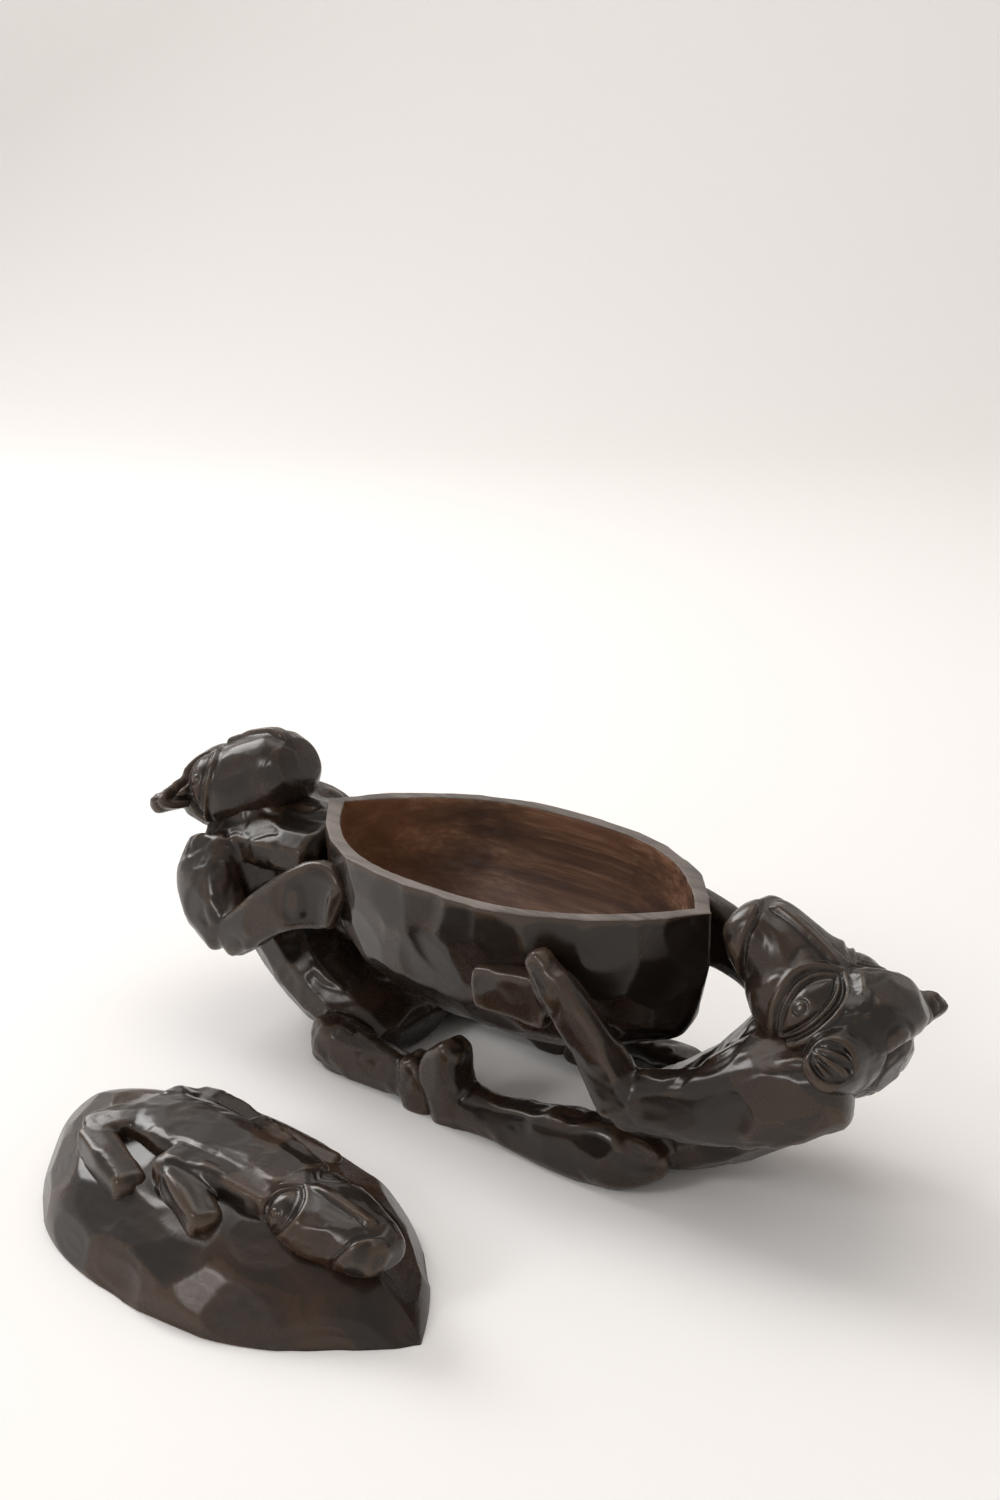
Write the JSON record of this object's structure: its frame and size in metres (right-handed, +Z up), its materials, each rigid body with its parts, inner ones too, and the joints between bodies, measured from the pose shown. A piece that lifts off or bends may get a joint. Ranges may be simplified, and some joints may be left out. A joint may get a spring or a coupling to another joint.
{
  "type": "carved wooden box",
  "caption": "Boat-shaped carved wooden bowl held up by reclining monkey-like figures lying feet to feet, with a hollow domed lid that carries a small reclining figure in relief",
  "frame": {"origin": "on the table, at the middle of the bounding box of the bowl with its bearers and the lid lying beside it", "axes": "+X along the bowl from one bearer's feet toward its head, +Y across the bowl away from the lid, +Z up"},
  "size_m": [0.3798, 0.2794, 0.1357],
  "materials": {
    "dark_carving": "dark stained and waxed, glossy knife facets",
    "bare_inside": "dark stained outside, bare brown wood inside"
  },
  "bodies": {
    "base": {"bowl": "bare_inside", "right_figure_torso": "dark_carving", "right_figure_head": "dark_carving", "right_figure_low_upper_arm": "dark_carving", "right_figure_low_forearm": "dark_carving", "right_figure_low_hand": "dark_carving", "right_figure_high_upper_arm": "dark_carving", "right_figure_high_forearm": "dark_carving", "right_figure_high_hand": "dark_carving", "right_figure_low_side_leg": "dark_carving", "right_figure_low_side_foot": "dark_carving", "right_figure_high_side_leg": "dark_carving", "right_figure_high_side_foot": "dark_carving", "left_figure_torso": "dark_carving", "left_figure_head": "dark_carving", "left_figure_low_upper_arm": "dark_carving", "left_figure_low_forearm": "dark_carving", "left_figure_low_hand": "dark_carving", "left_figure_high_upper_arm": "dark_carving", "left_figure_high_forearm": "dark_carving", "left_figure_high_hand": "dark_carving", "left_figure_low_side_leg": "dark_carving", "left_figure_low_side_foot": "dark_carving", "left_figure_high_side_leg": "dark_carving", "left_figure_high_side_foot": "dark_carving"},
    "lid": {"lid_shell": "dark_carving", "lid_figure_trunk": "dark_carving", "lid_figure_head": "dark_carving", "lid_figure_near_upper_arm": "dark_carving", "lid_figure_near_forearm": "dark_carving", "lid_figure_near_thigh": "dark_carving", "lid_figure_near_shin": "dark_carving", "lid_figure_far_upper_arm": "dark_carving", "lid_figure_far_forearm": "dark_carving", "lid_figure_far_thigh": "dark_carving", "lid_figure_far_shin": "dark_carving"}
  },
  "joints": [
    {"name": "lid_lift", "type": "slide", "parent": "base", "child": "lid", "axis": [0, 0, 1], "range_m": [0, 0.2]}
  ]
}
